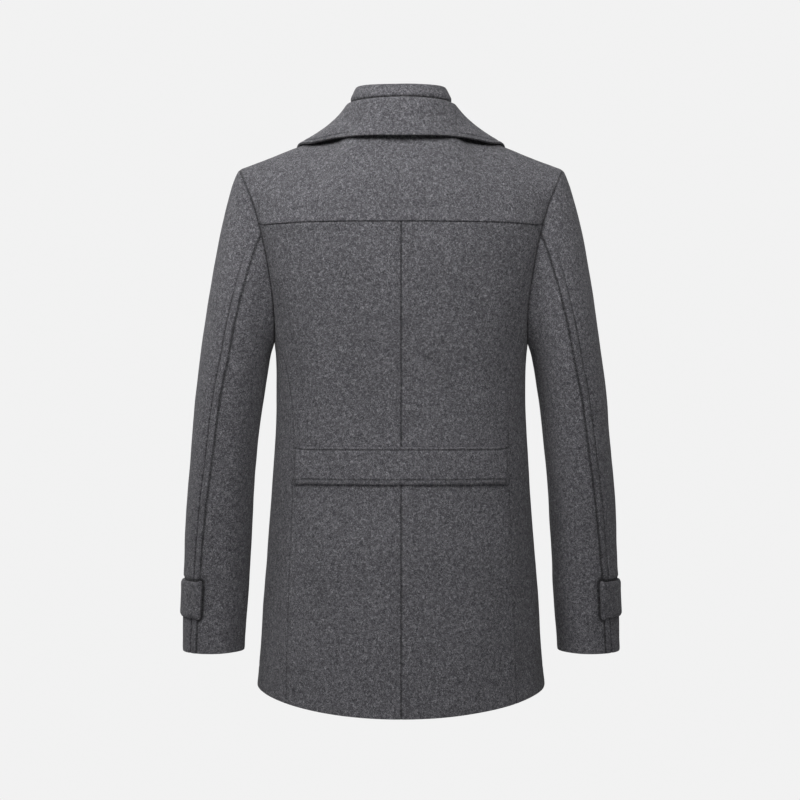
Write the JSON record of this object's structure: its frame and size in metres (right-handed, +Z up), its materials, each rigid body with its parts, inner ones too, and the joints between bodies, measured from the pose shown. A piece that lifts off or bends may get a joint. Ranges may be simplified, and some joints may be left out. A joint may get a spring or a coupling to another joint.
{
  "type": "winter coat, worn form",
  "caption": "Mid-length grey wool winter coat with a double collar, back yoke, half belt and cuff tabs, hollow as worn.",
  "frame": {"origin": "between the shoulders, on the centre line and in the plane of the shoulder seams, where the wearer carries the coat", "axes": "+Z up, the coat's front faces -Y and its back +Y, +X towards the wearer's left"},
  "size_m": [0.6124, 0.3034, 0.8463],
  "materials": {
    "wool": "mid-grey heathered melton wool, matt, with a short nap",
    "button": "dark horn-like, soft sheen"
  },
  "bodies": {
    "root": {"yoke": "wool", "back_left": "wool", "back_right": "wool", "front_left": "wool", "front_right": "wool", "top_sleeve_left": "wool", "top_sleeve_right": "wool", "under_sleeve_left": "wool", "under_sleeve_right": "wool", "folded_collar": "wool", "stand_collar": "wool", "half_belt": "wool", "cuff_tab_left": "wool", "cuff_tab_right": "wool", "front_button_1": "button", "front_button_2": "button", "front_button_3": "button", "front_button_4": "button", "tab_button_left": "button", "tab_button_right": "button"}
  },
  "joints": []
}
